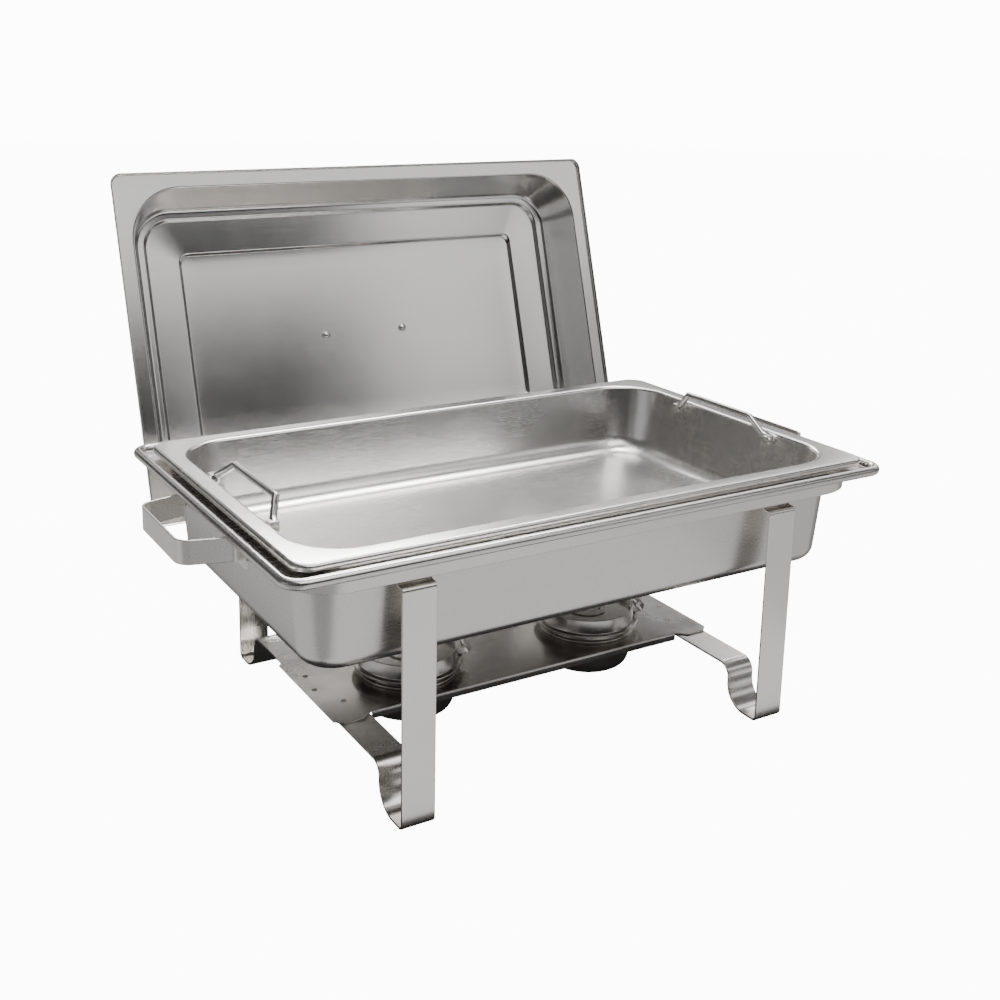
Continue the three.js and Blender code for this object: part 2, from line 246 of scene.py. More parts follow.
food_line = rounded([
    (66, 156.75), (58, 156.7), (29.6, 156.6, 19.6), (15.9, 221.6, 3.2), (0.5, 221.6, 2.4), (0.5, 217.1),
])
FOOD_CORNERS = [(0, 15), (4, 13), (14.2, 47.6), (17, 45), (45, 17), (66, 9)]
food_pan = place(drawn_form("food_pan_drawn", FOOD_RIM, food_line, FOOD_SHEET, FOOD_CORNERS), y=FOOD_Y)
print("food pan:", len(food_pan.data.polygons), "faces")

# %% [markdown]
# The lid is drawn 46 mm deep with a soft shoulder, one step, and a raised field that stiffens the
# middle. Parked, it stands on its long edge in the rests and leans back. It is drawn flat and then
# turned, so its own measures stay easy to read.

# %% Lid cover
LID = (268, 168)
LID_SHEET = 0.95
LID_LEAN = 0.294
LID_PLACE = (23, 272.3, 279.8)

lid_line = rounded([
    (92, 53.25), (84, 53.2), (75.6, 53.0, 2.4), (72.6, 50.4, 2.4), (40.6, 48.7, 2.2), (37.6, 45.45, 2.2),
    (29.1, 45.0, 6), (15.2, 0.5, 1.6), (0.5, 0.5, 1.8), (0.5, -3.4),
])
LID_CORNERS = [(0, 10), (2.4, 9), (13.4, 50), (15, 52), (26.4, 40), (33, 33), (41.4, 26), (72, 10), (92, 6)]


def park(obj):
    """Turns a piece drawn on the flat lid into the lid's parked place."""
    turn = Matrix.Rotation(-(pi / 2 + LID_LEAN), 4, "X")
    x, y, z = LID_PLACE
    obj.data.transform(Matrix.Translation(Vector((x, y + SHIFT_Y, z)) * MM) @ turn)
    return obj


lid_cover = park(drawn_form("lid_cover_drawn", LID, lid_line, LID_SHEET, LID_CORNERS))
print("lid cover:", len(lid_cover.data.polygons), "faces")

# %% [markdown]
# The stand is bent from strap 2 mm thick. Each end frame is one strap: it hooks under the rim band,
# comes down the front leg, turns under as a foot, crosses below the dish and goes up the rear leg.
# Strap is sheared and then tumbled, so its long edges are slightly rounded: a small bevel does that.

# %% Straps
STRAP = 2.0
LEG_WIDTH = 28
LEG_X = 171
LEG_FACE = 165


def soften(obj, width=0.45, segments=2):
    bevel = obj.modifiers.new("tumbled edges", "BEVEL")
    bevel.width = width * MM
    bevel.segments = segments
    bevel.limit_method = "ANGLE"
    bevel.angle_limit = math.radians(40)
    return obj


def strap(name, points, width, to_space, thickness=STRAP):
    """A flat strap along a bent line. to_space(a, b, w) gives the point in space."""
    line = rounded(points, math.radians(5))
    normals = sides(line)
    rings = []
    for p, n in zip(line, normals):
        inner, outer = p - n * thickness / 2, p + n * thickness / 2
        rings.append([to_space(*inner, -width / 2), to_space(*outer, -width / 2),
                      to_space(*outer, width / 2), to_space(*inner, width / 2)])
    points3, faces = bridge(rings)
    return soften(make_object(name, points3, faces, 50))


def end_frame(name, x):
    leg = LEG_FACE - STRAP / 2
    front = [(-162.7, 206.5), (-156, 206.5, 3), (-156, 190, 3), (-leg, 190, 3), (-leg, 1, 4),
             (-127.5, 1, 21), (-127.5, 36.5, 11)]
    back = [(-p[0],) + p[1:] for p in reversed(front)]
    return strap(name, front + back, LEG_WIDTH, lambda a, b, w: (x + w, a + SHIFT_Y, b))


end_frames = {side: end_frame(f"end_frame_{side}_strap", sign * LEG_X)
              for side, sign in (("left", -1), ("right", 1))}
print("end frames:", [len(o.data.polygons) for o in end_frames.values()])

# %% [markdown]
# The band is a strap on edge, bent into a rounded rectangle and butt-welded. It runs just under the
# drip channel and is what the water pan's rim comes down on. It is lofted as a closed loop.

# %% Rim band
BAND = {"x": 265, "y": 165, "r": 45, "low": 196.0, "high": 209.9}


def rim_band():
    low, high = BAND["low"], BAND["high"]
    loops = []
    for inset, z in ((0, low), (0, high), (STRAP, high), (STRAP, low)):
        loops.append(rounded_rectangle(BAND["x"] - inset, BAND["y"] - inset, BAND["r"] - inset, z))
    points, faces = bridge(loops, wrap=True)
    return soften(place(make_object("top_band_strap", points, faces, 50)))


top_band = rim_band()

# %% [markdown]
# A carrying handle is a strap loop whose two ends are welded flat along the band. The rests for the
# lid are narrower straps bent to a hook: the lid's flange stands in the notch and its field leans on
# the arm. The rests are out of sight from the guest's side, so their shape follows what the lid needs.

# %% Carrying handles and lid rests
HANDLE_HEIGHT = 19.4
HANDLE_TOP = 208.4


def carry_handle(name, side):
    seat = BAND["x"] + 0.3 + STRAP / 2
    half = [(seat, 78), (seat, 57, 5), (307, 46.5, 12)]
    line = half + [(x, -y, *r) for x, y, *r in reversed(half)]
    middle = HANDLE_TOP - HANDLE_HEIGHT / 2
    return strap(name, line, HANDLE_HEIGHT, lambda a, b, w: (side * a, b + SHIFT_Y, middle + w))


def lid_rest(name, x):
    seat = LEG_FACE + 0.3 + STRAP / 2
    line = [(seat, 150), (seat, 117.2, 4), (231.8, 117.2, 4), (231.8, 131.6, 4),
            (285.6, 131.6, 6), (305.1, 196)]
    return strap(name, line, 20, lambda a, b, w: (x + w, a + SHIFT_Y, b))


handles = {side: carry_handle(f"carry_handle_{side}_strap", sign)
           for side, sign in (("left", -1), ("right", 1))}
rests = {side: lid_rest(f"lid_rest_{side}_strap", sign * LEG_X)
         for side, sign in (("left", -1), ("right", 1))}

# %% [markdown]
# The burner shelf is one blank: two round holes for the fuel holders, long edges folded down for
# stiffness, and end tabs with clipped corners that lie on the crossbars. The sheet is cut as one flat
# outline with holes and the folds are bent strips along its front and back.

# %% Burner shelf
SHELF_TOP = 39.0
SHELF_SHEET = 1.2
HOLE_R = 41.5
BURNER_X = 94
HOLE_POINTS = 96


def circle(radius, count, x=0.0, y=0.0):
    return [(x + radius * cos(2 * pi * k / count), y + radius * sin(2 * pi * k / count))
            for k in range(count)]


def flat_plate(name, outline, holes, low, high):
    """A plate from an outline with holes, filled flat and given its thickness."""
    bm = bmesh.new()
    for loop in [outline] + holes:
        verts = [bm.verts.new((x * MM, y * MM, low * MM)) for x, y in loop]
        for k, vert in enumerate(verts):
            bm.edges.new((vert, verts[(k + 1) % len(verts)]))
    bmesh.ops.triangle_fill(bm, use_beauty=True, use_dissolve=False, edges=bm.edges[:])
    grown = bmesh.ops.extrude_face_region(bm, geom=bm.faces[:])["geom"]
    tops = [g for g in grown if isinstance(g, bmesh.types.BMVert)]
    bmesh.ops.translate(bm, vec=(0, 0, (high - low) * MM), verts=tops)
    bmesh.ops.recalc_face_normals(bm, faces=bm.faces)
    for face in bm.faces:
        face.smooth = abs(face.normal.z) < 0.5
    mesh = bpy.data.meshes.new(name)
    bm.to_mesh(mesh)
    bm.free()
    made = bpy.data.objects.new(name, mesh)
    bpy.context.scene.collection.objects.link(made)
    return made


def burner_shelf():
    # the blank's corners are clipped, and then broken with a file
    half = [(156, 55.5), (165, 63), (183, 63), (190, 56), (190, -56), (183, -63), (165, -63), (156, -55.5)]
    outline = half + [(-x, y) for x, y in reversed(half)]
    holes = [circle(HOLE_R, HOLE_POINTS, side * BURNER_X) for side in (-1, 1)]
    plate = place(flat_plate("burner_shelf_plate", outline, holes, SHELF_TOP - SHELF_SHEET, SHELF_TOP))
    soften(plate, 0.3)
    folds = []
    for end, sign in (("front", -1), ("back", 1)):
        line = [(53.0, SHELF_TOP - 0.62), (55.4, SHELF_TOP - 0.62, 1.4), (55.4, 32.1)]
        folds.append(strap(f"burner_shelf_fold_{end}", line, 311,
                           lambda a, b, w, s=sign: (w, s * a + SHIFT_Y, b), 1.15))
    return [plate] + folds


shelf = burner_shelf()
print("shelf:", [o.name for o in shelf])

# %% [markdown]
# The fuel holders are spun: a cup that hangs in the shelf's hole by its rolled bead, a collar that
# shields the flame, a thin scroll to pull it by, a tin of gel fuel, and a small damper that swings on
# one pin to smother the flame. Spun pieces are turned about their own axis from one profile.

# %% Spun pieces
TURN_POINTS = 96


def spun(name, profile, x=0.0, y=0.0, count=TURN_POINTS):
    """Turns a closed (radius, height) profile. One that starts and ends on the axis is solid."""
    on_axis = profile[0][0] == 0
    inner = profile[1:-1] if on_axis else profile
    rings = [[(x + r * cos(2 * pi * k / count), y + SHIFT_Y + r * sin(2 * pi * k / count), z)
              for k in range(count)] for r, z in inner]
    points, faces = bridge(rings, wrap=not on_axis)
    return make_object(name, points, faces)


def arc(cr, cz, radius, start_deg, end_deg, steps):
    made = []
    for k in range(steps + 1):
        a = math.radians(start_deg + (end_deg - start_deg) * k / steps)
        made.append((cr + radius * cos(a), cz + radius * sin(a)))
    return made


def cup_profile():
    outside = arc(30.5, 16, 10, -90, 0, 10)
    bead = arc(42.9, 40.3, 1.25, -120, 120, 10)
    inside = arc(30.5, 16, 9, 0, -90, 10)
    return ([(0, 6)] + [(24, 6)] + outside + [(40.5, 39.2)] + bead + [(41.3, 41.9), (40.9, 45.7)]
            + arc(40.4, 45.6, 0.45, 20, 160, 4) + [(39.7, 40)] + inside + [(24, 7), (0, 7)])


def collar_profile():
    flange = arc(47.1, 47.5, 1.05, -90, 90, 8)
    lip = arc(42.6, 60.6, 0.6, 0, 180, 6)
    return ([(38.6, 42.2), (39.3, 42.2), (39.5, 46.45)] + flange + [(45.6, 48.2), (43.9, 48.5), (43.3, 49.3)]
            + lip + [(41.95, 55.6), (41.6, 55.15), (16.6, 55.15), (16.6, 54.3), (41.0, 54.3),
                     (41.7, 53.6), (41.7, 49), (38.7, 47.0)])


def can_profile():
    seam = arc(36.6, 42.6, 0.9, 0, 180, 6)
    return ([(0, 10.2), (35.9, 10.2), (37.0, 10.8), (37.4, 11.8), (37.4, 41.8)] + seam
            + [(35.6, 41), (35.2, 40.5), (23.2, 40.4), (22.6, 39.7), (0, 39.6)])


# %% [markdown]
# Each holder gets its own set, and the scroll is a narrow strip whose end is curled up and back. The
# damper is a disc with a neck to its pin and a little upright finger to push it with.

# %% Two fuel holders
TAB_TURN = -0.3
DAMPER = {"r": 18.6, "pivot": 33.0, "angle": 2.4, "low": 55.55, "high": 56.35}


def scroll_tab(name, x):
    line = [(44.3, 49.4), (46.5, 49.4)]
    for k in range(25):
        turn = k / 24
        a = -pi / 2 + turn * 1.6 * pi
        r = 5.6 - 2.6 * turn
        line.append((50.4 + r * cos(a), 55 + r * sin(a)))

    def to_space(a, b, w):
        return (x + a * cos(TAB_TURN) - w * sin(TAB_TURN), a * sin(TAB_TURN) + w * cos(TAB_TURN) + SHIFT_Y, b)

    return strap(name, line, 9, to_space, 0.75)


def damper(name, x):
    r, pivot, angle = DAMPER["r"], DAMPER["pivot"], DAMPER["angle"]
    neck = math.asin(4.2 / r)
    outline = [(r * cos(a), r * sin(a)) for a in np.linspace(neck, 2 * pi - neck, 60)]
    eye = [(pivot + 4.5 * cos(a), 4.5 * sin(a)) for a in np.linspace(-1.9, 1.9, 18)]
    turned = Matrix.Rotation(angle, 4, "Z")
    plate = flat_plate(name, outline + eye, [circle(1.75, 20, pivot)], DAMPER["low"], DAMPER["high"])
    plate.data.transform(turned)
    place(plate, x)
    line = [(11.5, DAMPER["high"] - 0.35), (13.6, DAMPER["high"] - 0.35, 0.7), (13.6, 60.3)]

    def to_space(a, b, w):
        return (x - a * cos(angle) - w * sin(angle), -a * sin(angle) + w * cos(angle) + SHIFT_Y, b)

    finger = strap(f"{name}_finger", line, 8, to_space, 0.7)
    return [soften(plate, 0.2), finger]


def fuel_holder(side, x):
    px = x + DAMPER["pivot"] * cos(DAMPER["angle"])
    py = DAMPER["pivot"] * sin(DAMPER["angle"])
    pin = [(0, 55.5), (1.45, 55.5), (1.45, 56.75)] + arc(0, 56.75, 3.1, 0, 60, 6) + [(0, 58.15)]
    pin = [(r, min(z, 56.75 + (z - 56.75) * 0.5)) for r, z in pin]
    fixed = {
        f"fuel_cup_{side}": spun(f"fuel_cup_{side}_spun", cup_profile(), x),
        f"fuel_collar_{side}": spun(f"fuel_collar_{side}_spun", collar_profile(), x),
        f"fuel_can_{side}": spun(f"fuel_can_{side}_tin", can_profile(), x),
        f"collar_tab_{side}": scroll_tab(f"collar_tab_{side}_scroll", x),
        f"damper_pin_{side}": spun(f"damper_pin_{side}_rivet", pin, px, py, 24),
    }
    return fixed, damper(f"damper_{side}_flap", x)


holders = {side: fuel_holder(side, sign * BURNER_X) for side, sign in (("left", -1), ("right", 1))}
print("holder pieces:", [o.name for o in holders["left"][0].values()])

# %% [markdown]
# The drop handles of the food pan are bent from 6 mm wire. The turned ends sit in small blocks welded
# to the pan's end walls, and friction holds each handle at the angle where it was left: the left one
# leans in further than the right. The lid's handle is a thicker bar of the same kind.

# %% Wire handles
BAIL = {"r": 3.0, "x": 241.8, "z": 215.5, "half": 55.0, "pin": 12.0, "reach": 23.5}
BAIL_LEAN = {"left": 0.62, "right": 0.26}


def bent_path(corners, radius):
    """A line in space bent at its corners. Known fault: slerp gives unit vectors, so a bend's points
    gather at its centre. The bend comes out drawn in and sharp, where it should be round."""
    corners = [Vector(c) for c in corners]
    path = [corners[0]]
    for i in range(1, len(corners) - 1):
        here = corners[i]
        before = (corners[i - 1] - here).normalized()
        after = (corners[i + 1] - here).normalized()
        half = before.angle(after) / 2
        cut = min(radius / math.tan(half), 0.48 * min((corners[i - 1] - here).length,
                                                      (corners[i + 1] - here).length))
        bend_r = cut * math.tan(half)
        centre = here + (before + after).normalized() * (bend_r / sin(half))
        start, end = here + before * cut - centre, here + after * cut - centre
        for k in range(11):
            t = k / 10
            turned = start.slerp(end, t)
            path.append(centre + turned)
    path.append(corners[-1])
    return path


def wire(name, path, radius, count=28):
    """A round bar along a path, its sawn ends slightly rounded."""
    dirs = [(path[min(i + 1, len(path) - 1)] - path[max(i - 1, 0)]).normalized() for i in range(len(path))]
    side = dirs[0].orthogonal().normalized()
    rings = []
    for i, (point, along) in enumerate(zip(path, dirs)):
        side = (side - along * side.dot(along)).normalized()
        up = along.cross(side)
        stations = [(0, radius)]
        if i == 0:
            stations = [(0.0, radius * 0.72), (0.25, radius * 0.93), (0.8, radius)]
        if i == len(path) - 1:
            stations = [(-0.8, radius), (-0.25, radius * 0.93), (0.0, radius * 0.72)]
        for offset, r in stations:
            base = point + along * offset
            rings.append([base + (side * cos(2 * pi * k / count) + up * sin(2 * pi * k / count)) * r
                          for k in range(count)])
    points, faces = bridge(rings)
    return make_object(name, points, faces)


def bail(side, sign):
    lean, y0 = BAIL_LEAN[side], FOOD_Y + SHIFT_Y
    grip_x = sign * (BAIL["x"] - BAIL["reach"] * sin(lean))
    grip_z = BAIL["z"] + BAIL["reach"] * cos(lean)
    x, z, half, pin = sign * BAIL["x"], BAIL["z"], BAIL["half"], BAIL["pin"]
    corners = [(x, y0 - half - pin, z), (x, y0 - half, z), (grip_x, y0 - half + 8, grip_z),
               (grip_x, y0 + half - 8, grip_z), (x, y0 + half, z), (x, y0 + half + pin, z)]
    return wire(f"bail_{side}_wire", bent_path(corners, 5.5), BAIL["r"])


def bail_clip(side, sign, end, way):
    """A small block with a bore for the wire's end, its edges broken."""
    half, bore, width = 4.3, 3.3, 6.4
    section = rounded([(0, half), (-half, half, 1.2), (-half, -half, 1.2), (half, -half, 1.2),
                       (half, half, 1.2), (0, half)], math.radians(15))
    outer = [tuple(p) for p in section[:-1]]
    angles = [math.atan2(p[1], p[0]) for p in outer]
    inner = [(bore * cos(a), bore * sin(a)) for a in angles]
    y_mid = FOOD_Y + SHIFT_Y + way * (BAIL["half"] + BAIL["pin"] - 3.25)
    rings = []
    for loop, y in ((outer, -width / 2), (outer, width / 2), (inner, width / 2), (inner, -width / 2)):
        rings.append([(sign * BAIL["x"] + px, y_mid + y, BAIL["z"] + pz) for px, pz in loop])
    points, faces = bridge(rings, wrap=True)
    return soften(make_object(f"bail_clip_{side}_{end}_block", points, faces, 30), 0.3)


bails = {side: bail(side, sign) for side, sign in (("left", -1), ("right", 1))}
clips = {(side, end): bail_clip(side, sign, end, way)
         for side, sign in (("left", -1), ("right", 1)) for end, way in (("front", -1), ("rear", 1))}

# %% [markdown]
# The lid's handle is an arch of bar almost 10 mm thick. Two washers spread its load on the thin
# field and two screws come from inside, so their heads are what shows when the lid stands open.

# %% Lid handle, washers and screws
SCREW_X = 45


def lid_handle():
    foot, top = 56.4, 88.0
    corners = [(-SCREW_X, 0, foot), (-SCREW_X, 0, top), (SCREW_X, 0, top), (SCREW_X, 0, foot)]
    return park(wire("lid_handle_bar", bent_path(corners, 16), 4.9, 36))


def lid_spun(name, profile, x, count=40):
    return park(spun(name, profile, x, -SHIFT_Y, count))


def screw_head(name, x):
    """A pan head with a domed face towards the inside of the lid and the shank under it."""
    dome = [(4.3 * cos(a), 52.3 - 2.7 * sin(a)) for a in np.linspace(0.12, pi / 2 - 0.02, 9)]
    profile = [(0, 64.5), (1.9, 64.5), (1.9, 52.5), (4.2, 52.5)] + dome + [(0, 49.55)]
    return lid_spun(name, profile, x, 32)


lid_fittings = {"lid_handle": lid_handle()}
for side, sign in (("left", -1), ("right", 1)):
    washer = [(2.7, 54.2), (8.6, 54.2), (8.95, 54.6), (8.95, 55.3), (8.2, 56.0), (2.7, 56.05)]
    lid_fittings[f"lid_washer_{side}"] = lid_spun(f"lid_washer_{side}_ring", washer, sign * SCREW_X)
    lid_fittings[f"lid_screw_{side}"] = screw_head(f"lid_screw_{side}_head", sign * SCREW_X)
print("lid fittings:", sorted(lid_fittings))

# %% [markdown]
# The spot welds show as small dished dots where the shelf's tabs lie on the crossbars, and the
# handles and the band carry a short dressed weld. These marks are how one sees that it is welded.

# %% Weld marks
WELD_DOTS = [(-178, 26), (-181, 0), (-168, -29), (178, 26), (181, 0), (168, -29)]


def weld_dots():
    made = []
    for k, (x, y) in enumerate(WELD_DOTS):
        ring = [(2.6, 38.95), (2.3, 39.22), (1.6, 39.3), (1.0, 39.12)]
        profile = [(0, 38.9), (2.6, 38.9)] + ring[1:] + [(0, 39.05)]
        made.append(spun(f"weld_dot_{k + 1}", profile, x, y, 20))
    return made


def handle_welds():
    """A dressed bead along each end of a carrying handle, lying in the corner with the band."""
    made = []
    for side, sign in (("left", -1), ("right", 1)):
        for end, way in (("front", -1), ("rear", 1)):
            path = [Vector((sign * 266.3, way * 78.2 + SHIFT_Y, 190.5 + t)) for t in np.linspace(6, 17, 8)]
            made.append(wire(f"handle_weld_{side}_{end}", path, 0.8, 10))
    return made


welds = weld_dots() + handle_welds()

# %% [markdown]
# Every piece now goes on its body, and the plain working node that it stands for is hidden. The
# names keep the node's name first, so it is clear which working piece each one belongs to.

# %% Put the pieces on their bodies


def fit(obj, body, material_slot, *nodes):
    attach(obj, body)
    if nodes:
        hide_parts(*nodes)


fit(water_pan, "water_pan", "satin_steel", "water_pan")
fit(food_pan, "food_pan", "polished_steel", "food_pan")
fit(lid_cover, "lid", "satin_steel", "lid_cover")
fit(top_band, "stand", "strap_steel", "top_band")
for side in ("left", "right"):
    fit(end_frames[side], "stand", "strap_steel", f"end_frame_{side}")
    fit(handles[side], "stand", "strap_steel", f"carry_handle_{side}")
    fit(rests[side], "stand", "strap_steel", f"lid_rest_{side}")
    fit(bails[side], f"bail_{side}", "wire_steel", f"bail_{side}")
    for end in ("front", "rear"):
        fit(clips[side, end], "food_pan", "polished_steel", f"bail_clip_{side}_{end}")
    fixed, flap = holders[side]
    for node, obj in fixed.items():
        fit(obj, f"fuel_holder_{side}", "tin_plate" if "can" in node else "holder_steel", node)
    for obj in flap:
        fit(obj, f"damper_{side}", "holder_steel", f"damper_{side}")
for obj in shelf:
    fit(obj, "stand", "holder_steel", "burner_shelf")
for node, obj in lid_fittings.items():
    fit(obj, "lid", "wire_steel", node)
for obj in welds:
    fit(obj, "stand", "strap_steel")

# %% [markdown]
# Stainless steel has hardly a colour of its own: what one sees is the room, softened by the finish.
# So the finish is built from roughness and fine relief. A satin sheet has long hair lines from the
# belt that ground it, a cloudy unevenness from wiping, and a few fine scratches from use.

# %% Steel finishes


def node(tree, kind, x, y, **values):
    made = tree.nodes.new(kind)
    made.location = (x, y)
    for key, value in values.items():
        if hasattr(made, key):
            setattr(made, key, value)
        else:
            made.inputs[key.replace("_", " ")].default_value = value
    return made


def stretched_noise(tree, coords, scale, detail, x, y):
    """Noise drawn out along the axis with the smallest scale, like grinding lines."""
    mapping = node(tree, "ShaderNodeMapping", x, y)
    mapping.inputs["Scale"].default_value = scale
    noise = node(tree, "ShaderNodeTexNoise", x + 200, y, Scale=1.0, Detail=detail, Roughness=0.6)
    tree.links.new(coords, mapping.inputs["Vector"])
    tree.links.new(mapping.outputs["Vector"], noise.inputs["Vector"])
    return noise.outputs["Fac"]


def ramp(tree, value, low, high, out_low, out_high, x, y):
    made = node(tree, "ShaderNodeMapRange", x, y)
    for name, number in (("From Min", low), ("From Max", high), ("To Min", out_low), ("To Max", out_high)):
        made.inputs[name].default_value = number
    tree.links.new(value, made.inputs["Value"])
    return made.outputs["Result"]


def steel(name, color, roughness, grain=(14, 2600, 2600), hair=0.035, cloud=0.03, scratch=0.04):
    """A stainless steel finish: hair lines along one axis, wiping clouds and a few scratches."""
    material = bpy.data.materials.new(name)
    material.use_nodes = True
    tree = material.node_tree
    shader = tree.nodes["Principled BSDF"]
    shader.inputs["Metallic"].default_value = 1.0
    coords = node(tree, "ShaderNodeTexCoord", -1300, 0).outputs["Object"]
    hairs = stretched_noise(tree, coords, grain, 3, -1100, 200)
    clouds = stretched_noise(tree, coords, (9, 9, 9), 4, -1100, -50)
    marks = stretched_noise(tree, coords, (14, 420, 330), 2, -1100, -300)
    hair_rough = ramp(tree, hairs, 0.3, 0.7, roughness - hair, roughness + hair, -650, 200)
    cloud_rough = ramp(tree, clouds, 0.3, 0.7, -cloud, cloud, -650, -50)
    mark_rough = ramp(tree, marks, 0.66, 0.74, 0.0, scratch, -650, -300)
    total = node(tree, "ShaderNodeMath", -400, 100, operation="ADD")
    tree.links.new(hair_rough, total.inputs[0])
    tree.links.new(cloud_rough, total.inputs[1])
    total2 = node(tree, "ShaderNodeMath", -220, 60, operation="ADD")
    tree.links.new(total.outputs[0], total2.inputs[0])
    tree.links.new(mark_rough, total2.inputs[1])
    tree.links.new(total2.outputs[0], shader.inputs["Roughness"])
    tint = node(tree, "ShaderNodeMix", -400, 400, data_type="RGBA")
    tint.inputs["A"].default_value = (*[c * 0.93 for c in color], 1)
    tint.inputs["B"].default_value = (*color, 1)
    tree.links.new(ramp(tree, clouds, 0.25, 0.75, 0.0, 1.0, -650, 420), tint.inputs["Factor"])
    tree.links.new(tint.outputs["Result"], shader.inputs["Base Color"])
    bump = node(tree, "ShaderNodeBump", -220, -250, Strength=0.03, Distance=0.00004)
    tree.links.new(hairs, bump.inputs["Height"])
    dent = node(tree, "ShaderNodeBump", -60, -300, Strength=0.06, Distance=0.001)
    tree.links.new(clouds, dent.inputs["Height"])
    tree.links.new(bump.outputs["Normal"], dent.inputs["Normal"])
    tree.links.new(dent.outputs["Normal"], shader.inputs["Normal"])
    return material


SATIN = steel("satin sheet", (0.70, 0.68, 0.655), 0.27)
POLISHED = steel("bright sheet", (0.82, 0.805, 0.78), 0.27, hair=0.008, cloud=0.012, scratch=0.0)
LID_STEEL = steel("lid sheet", (0.78, 0.77, 0.75), 0.19, hair=0.015, cloud=0.015, scratch=0.0)
STRAP_STEEL = steel("strap", (0.86, 0.83, 0.79), 0.26, grain=(2600, 2600, 14))
BAND_STEEL = steel("band strap", (0.82, 0.79, 0.75), 0.28)
WIRE_STEEL = steel("drawn wire", (0.80, 0.79, 0.77), 0.18, grain=(300, 30, 300), cloud=0.03)
HOLDER_STEEL = steel("spun steel", (0.58, 0.56, 0.53), 0.22, grain=(40, 40, 900))
WELD_STEEL = steel("weld mark", (0.45, 0.41, 0.37), 0.42, cloud=0.08)
TIN = steel("tin plate", (0.62, 0.63, 0.64), 0.34, grain=(40, 40, 900))


def paint(obj, material):
    obj.data.materials.clear()
    obj.data.materials.append(material)


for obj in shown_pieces():
    name = obj.name
    if name.startswith(("weld_dot", "handle_weld")):
        paint(obj, WELD_STEEL)
    elif name.startswith("water_pan"):
        paint(obj, SATIN)
    elif name.startswith(("food_pan", "bail_clip")):
        paint(obj, POLISHED)
    elif name.startswith("lid_cover"):
        paint(obj, LID_STEEL)
    elif name.startswith(("bail_", "lid_handle", "lid_washer", "lid_screw")):
        paint(obj, WIRE_STEEL)
    elif name.startswith(("top_band", "carry_handle")):
        paint(obj, BAND_STEEL)
    elif name.startswith(("end_frame", "lid_rest")):
        paint(obj, STRAP_STEEL)
    elif name.startswith("fuel_can"):
        paint(obj, TIN)
    else:
        paint(obj, HOLDER_STEEL)

# %% [markdown]
# The set is a plain pale floor under a white sky, as for a catalogue picture. Bright metal shows
# only what it reflects, so boards of different greys stand out of sight all round the dish. They
# are seen only in the steel, and they are its light.

# %% Floor, sky and boards


def glowing(name, glow, base=0.0):
    """A white surface that gives off light of its own; base is how much it also scatters back."""
    material = bpy.data.materials.new(name)
    material.use_nodes = True
    shader = material.node_tree.nodes["Principled BSDF"]
    shader.inputs["Base Color"].default_value = (base, base, base, 1)
    shader.inputs["Roughness"].default_value = 0.8
    shader.inputs["Specular IOR Level"].default_value = 0.2
    shader.inputs["Emission Color"].default_value = (1, 1, 1, 1)
    shader.inputs["Emission Strength"].default_value = glow
    return material


def hide_from(obj, *rays):
    """Hides a piece of the set from kinds of light ray, such as the camera's."""
    for ray in rays:
        setattr(obj, f"visible_{ray}", False)
    return obj


FLOOR_HALF = 8
FLOOR_GLOW, SWEEP_GLOW = 12.0, 12.5


def spans(value):
    return value if isinstance(value, tuple) else (value,)


def flat_sheet(name, material, x, y, z):
    """A flat rectangle. Two of x, y and z are its spans, and the third is its plane."""
    corners = [(i, j, k) for i in spans(x) for j in spans(y) for k in spans(z)]
    mesh = bpy.data.meshes.new(name)
    mesh.from_pydata(corners, [], [(0, 1, 3, 2)])
    mesh.materials.append(material)
    made = bpy.data.objects.new(name, mesh)
    bpy.context.scene.collection.objects.link(made)
    return made


reach = (-FLOOR_HALF, FLOOR_HALF)
floor = flat_sheet("floor", glowing("pale floor", FLOOR_GLOW, 0.5), reach, reach, 0)
hide_from(floor, "glossy", "shadow")


def sky_dome(radius):
    """The white paper sweep all round, seen by the camera only."""
    bm = bmesh.new()
    bmesh.ops.create_uvsphere(bm, u_segments=48, v_segments=24, radius=radius)
    for face in bm.faces:
        face.smooth = True
    mesh = bpy.data.meshes.new("white sweep")
    bm.to_mesh(mesh)
    bm.free()
    dome = bpy.data.objects.new("white sweep", mesh)
    mesh.materials.append(glowing("white sweep", SWEEP_GLOW))
    bpy.context.scene.collection.objects.link(dome)
    return hide_from(dome, "glossy", "diffuse", "shadow", "transmission")


sky_dome(7.5)

world = bpy.data.worlds.new("studio")
bpy.context.scene.world = world
world.use_nodes = True
world.node_tree.nodes["Background"].inputs["Color"].default_value = (1, 0.99, 0.975, 1)
world.node_tree.nodes["Background"].inputs["Strength"].default_value = 0.10

FRONT, BACK, LEFT, RIGHT, CEILING, GROUND = -2.3, 2.6, -2.6, 3.4, 2.2, -0.001


def board(name, glow, x, y, z):
    """A board that only the steel sees."""
    made = flat_sheet(name, glowing(name, glow), x, y, z)
    return hide_from(made, "camera", "diffuse", "shadow")


DISH_LEFT, DISH_RIGHT, DISH_FRONT, DISH_BACK = -0.32, 0.32, -0.27, 0.09

# In front: dark below, light above and to the right.
board("front dark", 0.0, (LEFT, 1.3), FRONT, (0, 1.35))
board("front high", 1.15, (0.3, 3.2), FRONT, (1.35, CEILING))
board("front right", 1.2, (1.3, 1.9), FRONT, (0.9, 1.35))
board("front low", 0.9, (1.3, 1.9), FRONT, (0, 0.45))

# At the sides.
board("left side", 0.6, LEFT, (-0.8, 0.6), (0.5, 1.1))
board("right side", 0.9, RIGHT, (-0.8, 0.6), (1.1, CEILING))
board("right rear", 2.0, RIGHT, (0.6, BACK), (1.1, CEILING))

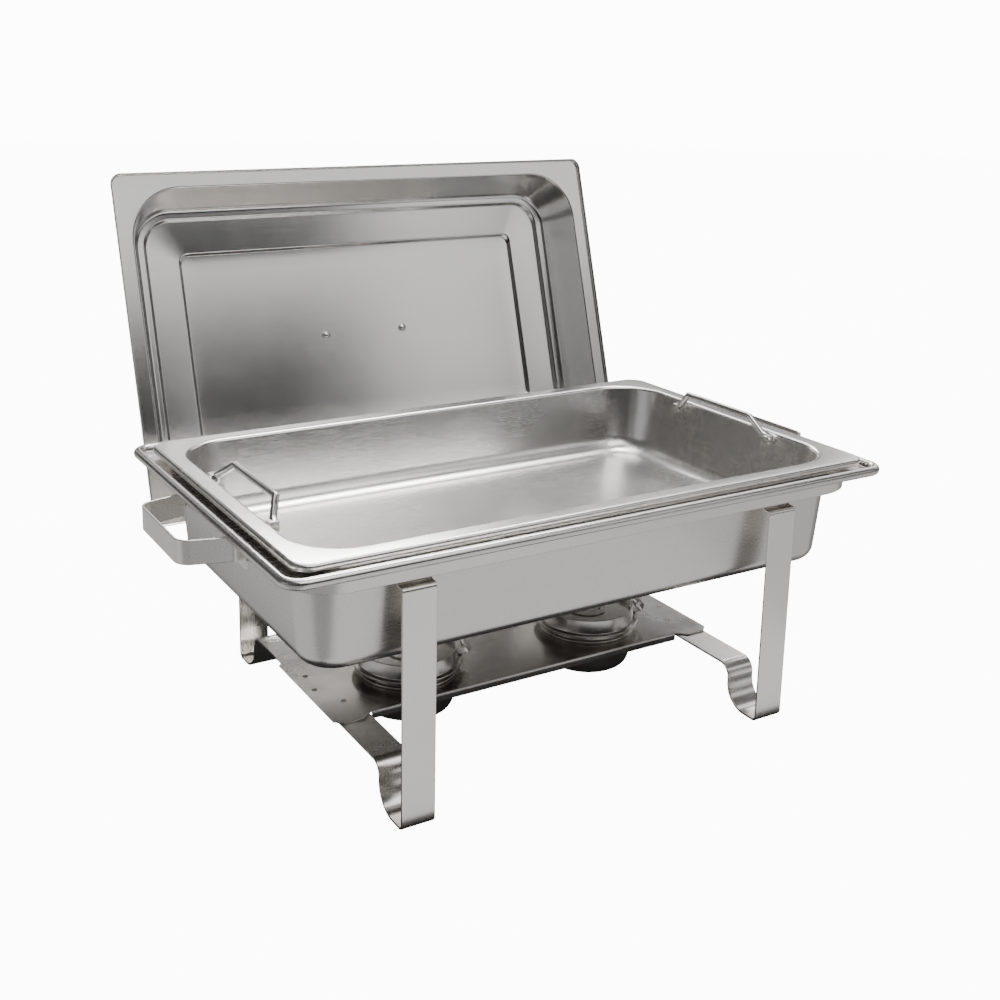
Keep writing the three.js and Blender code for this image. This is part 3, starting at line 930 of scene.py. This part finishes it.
# Behind, with the strong box that lights the food pan's floor.
board("back left", 1.0, (-1.0, -0.2), BACK, (1.0, 1.5))
board("back right", 0.9, (0.6, 2.4), BACK, (1.0, 1.5))
board("back box", 26.0, (0.6, 1.4), BACK, (1.5, CEILING))

# Overhead, with a second strong box.
board("ceiling front", 3.0, (-0.9, 1.2), (FRONT, -0.8), CEILING)
board("ceiling left", 1.2, (-0.9, -0.3), (-0.8, 0.8), CEILING)
board("ceiling middle", 5.0, (-0.3, 0.4), (0.1, 1.5), CEILING)
board("ceiling box", 22.0, (0.4, 1.2), (0.1, 0.8), CEILING)
board("ceiling right", 2.0, (1.2, RIGHT), (0.1, 0.8), CEILING)
board("ceiling back", 3.5, (0.4, RIGHT), (1.5, BACK), CEILING)

# On the ground the steel sees these boards in place of the floor, with the floor's light and shade painted
# into their glow: lightest in front of the dish, painted shade under it.
board("ground front left", 0.38, (LEFT, DISH_LEFT), (FRONT, DISH_FRONT), GROUND)
board("ground front", 0.86, (DISH_LEFT, DISH_RIGHT), (FRONT, DISH_FRONT), GROUND)
board("ground front right", 0.65, (DISH_RIGHT, RIGHT), (FRONT, DISH_FRONT), GROUND)
board("ground left", 0.7, (LEFT, DISH_LEFT), (DISH_FRONT, DISH_BACK), GROUND)
# painted shade: the dish's shadow on the ground, as a board that hardly glows
board("ground painted shade under dish", 0.02, (DISH_LEFT, DISH_RIGHT), (DISH_FRONT, DISH_BACK), GROUND)
board("ground right", 0.26, (DISH_RIGHT, RIGHT), (DISH_FRONT, DISH_BACK), GROUND)
board("ground back left", 0.6, (LEFT, DISH_LEFT), (DISH_BACK, BACK), GROUND)
board("ground back", 0.2, (DISH_LEFT, RIGHT), (DISH_BACK, BACK), GROUND)

# %% [markdown]
# The camera stands at the guest's left, a little above the rim, with a normal lens. The lens is
# shifted a little, which frames the dish without turning the camera.

# %% Camera
EYE = (-0.583, -0.926 + SHIFT_Y * MM, 0.554)
YAW, PITCH, ROLL_ANGLE = 0.526, -0.2347, 0.014
FOCAL = 1.316

forward = Vector((sin(YAW) * cos(PITCH), cos(YAW) * cos(PITCH), sin(PITCH)))
level = Vector((cos(YAW), -sin(YAW), 0))
upright = level.cross(forward)
right = cos(ROLL_ANGLE) * level + sin(ROLL_ANGLE) * upright
up = -sin(ROLL_ANGLE) * level + cos(ROLL_ANGLE) * upright

camera = bpy.data.objects.new("camera", bpy.data.cameras.new("camera"))
camera.data.sensor_width = 36
camera.data.lens = 36 * FOCAL
camera.data.shift_x = 0.04
camera.data.shift_y = -0.13
axes = Matrix((right, up, -forward)).transposed().to_4x4()
camera.matrix_world = Matrix.Translation(Vector(EYE)) @ axes
bpy.context.scene.collection.objects.link(camera)
bpy.context.scene.camera = camera
print("camera at", [round(v, 3) for v in EYE], "lens", round(camera.data.lens, 1), "mm")
